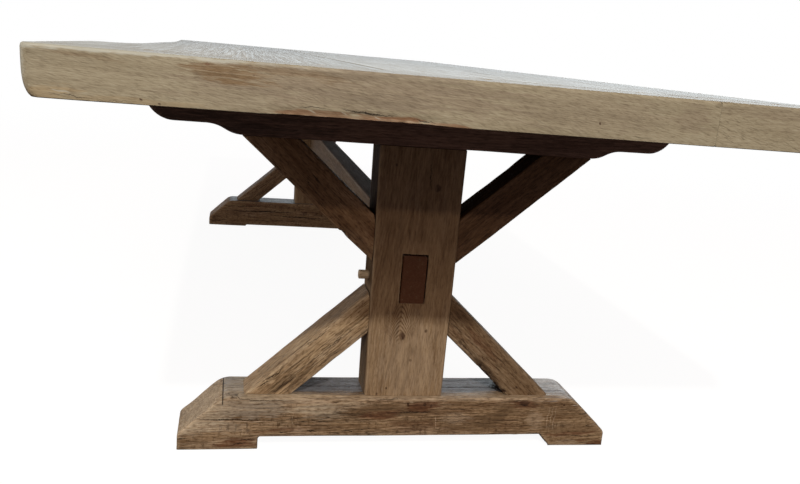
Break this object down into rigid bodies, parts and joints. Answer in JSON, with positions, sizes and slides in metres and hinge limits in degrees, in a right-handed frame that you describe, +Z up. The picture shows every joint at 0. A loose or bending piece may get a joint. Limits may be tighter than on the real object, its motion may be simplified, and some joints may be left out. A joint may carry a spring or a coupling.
{
  "type": "trestle dining table",
  "caption": "Long dining table with a thick plank top on braced trestles, joined by a stretcher whose through tenons are held by removable draw pegs.",
  "frame": {"origin": "on the floor under the middle of the top", "axes": "+X across the table to the right, +Y along the table to the far end, +Z up"},
  "size_m": [1.21, 3.1, 0.765],
  "materials": {
    "oak_top": "dry, worn, unvarnished",
    "oak_trestle": "dry, worn, unvarnished",
    "oak_stretcher": "dry, worn, reddish",
    "oak_peg": "dry, cut with a knife",
    "steel_fixing": "zinc plated"
  },
  "bodies": {
    "table": {"top_plank_1": "oak_top", "top_plank_2": "oak_top", "top_plank_3": "oak_top", "top_plank_4": "oak_top", "top_plank_5": "oak_top", "plank_splines": "oak_peg", "end_board_near_long": "oak_top", "end_board_near_short": "oak_top", "end_board_far": "oak_top", "end_board_pegs": "oak_peg", "foot_near": "oak_trestle", "post_near": "oak_trestle", "bearer_near": "oak_trestle", "brace_lower_left_near": "oak_trestle", "brace_lower_right_near": "oak_trestle", "brace_upper_left_near": "oak_trestle", "brace_upper_right_near": "oak_trestle", "foot_far": "oak_trestle", "post_far": "oak_trestle", "bearer_far": "oak_trestle", "brace_lower_left_far": "oak_trestle", "brace_lower_right_far": "oak_trestle", "brace_upper_left_far": "oak_trestle", "brace_upper_right_far": "oak_trestle", "stretcher": "oak_stretcher", "bearer_screws": "steel_fixing", "bearer_washers": "steel_fixing"},
    "draw_peg_near": {"draw_peg_near": "oak_peg"},
    "draw_peg_far": {"draw_peg_far": "oak_peg"}
  },
  "joints": [
    {"name": "draw_peg_near_slide", "type": "slide", "parent": "table", "child": "draw_peg_near", "axis": [-1, 0, 0], "range_m": [0, 0.175]},
    {"name": "draw_peg_far_slide", "type": "slide", "parent": "table", "child": "draw_peg_far", "axis": [-1, 0, 0], "range_m": [0, 0.175]}
  ]
}
